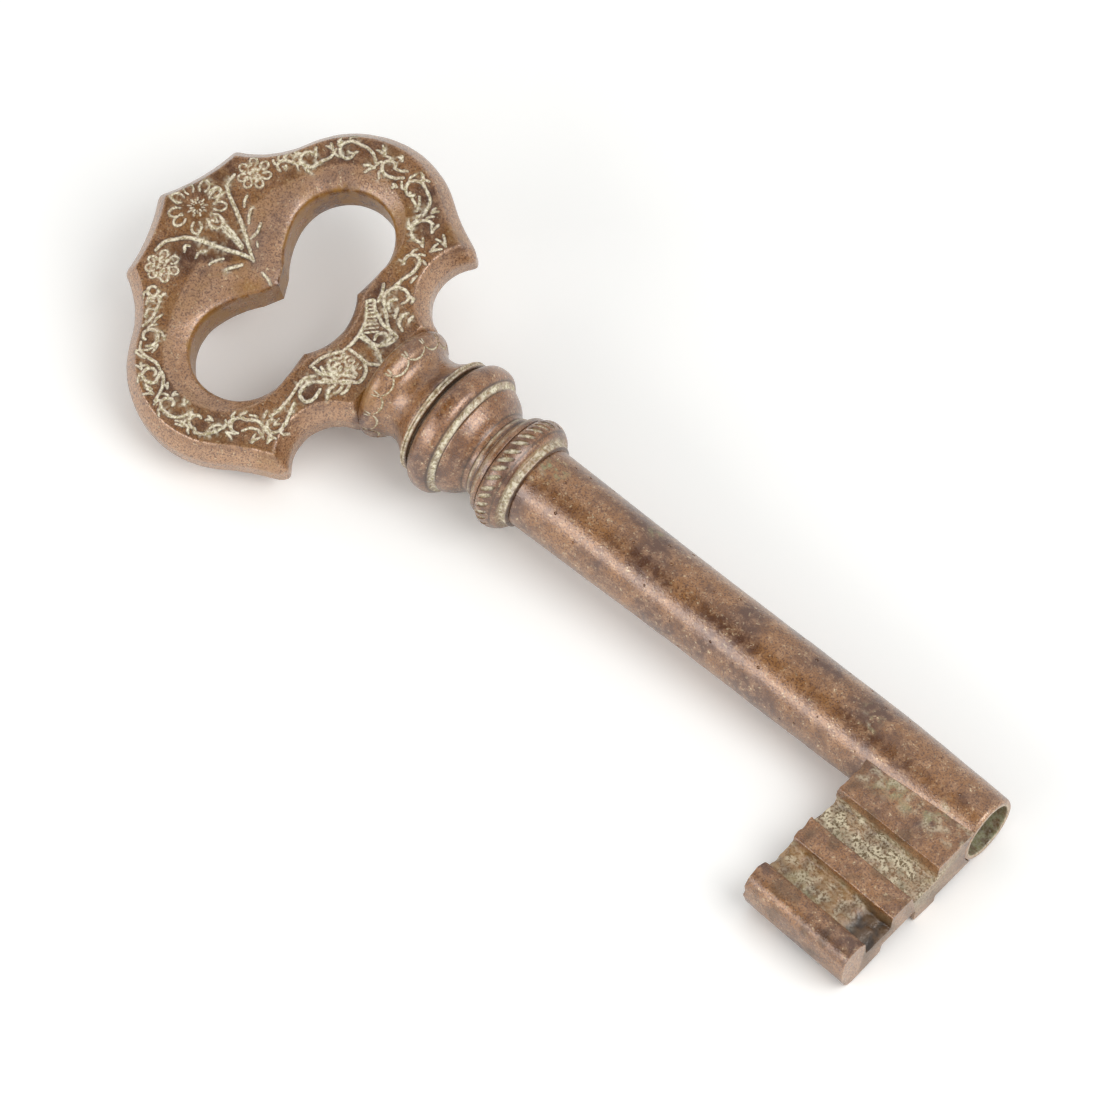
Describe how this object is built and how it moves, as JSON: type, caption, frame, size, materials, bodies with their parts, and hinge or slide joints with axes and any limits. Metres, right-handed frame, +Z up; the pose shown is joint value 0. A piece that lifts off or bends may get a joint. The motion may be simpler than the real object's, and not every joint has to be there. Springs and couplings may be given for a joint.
{
  "type": "pipe key",
  "caption": "Cast bronze pipe key with a bevelled kidney bow, bell neck, turned bulb and roped ring, a tapered hollow barrel and a grooved bit, lying at rest.",
  "frame": {"origin": "centre of the barrel's bore at its mouth", "axes": "+Z up with the key lying at rest on its bulb, its mouth and the end of its bit; +X along the key towards the mouth (the barrel's axis runs 3.1 degrees below it); +Y away from the bit"},
  "size_m": [0.1511, 0.0569, 0.0228],
  "materials": {
    "bow_bronze": "patinated cast bronze, worn pinkish on the bevels",
    "collar_bronze": "patinated turned bronze, pale deposit in the grooves",
    "tenon_brass": "plain turned brass, hidden inside",
    "barrel_bronze": "patinated cast bronze, satin from handling",
    "bit_bronze": "rough cast bronze with grey-green crust in the grooves"
  },
  "bodies": {
    "root": {"bow": "bow_bronze", "upper_disc": "collar_bronze", "bulb_collar": "collar_bronze", "lower_disc": "collar_bronze", "rope_ring": "collar_bronze", "tenon": "tenon_brass", "barrel": "barrel_bronze", "bit": "bit_bronze"}
  },
  "joints": []
}
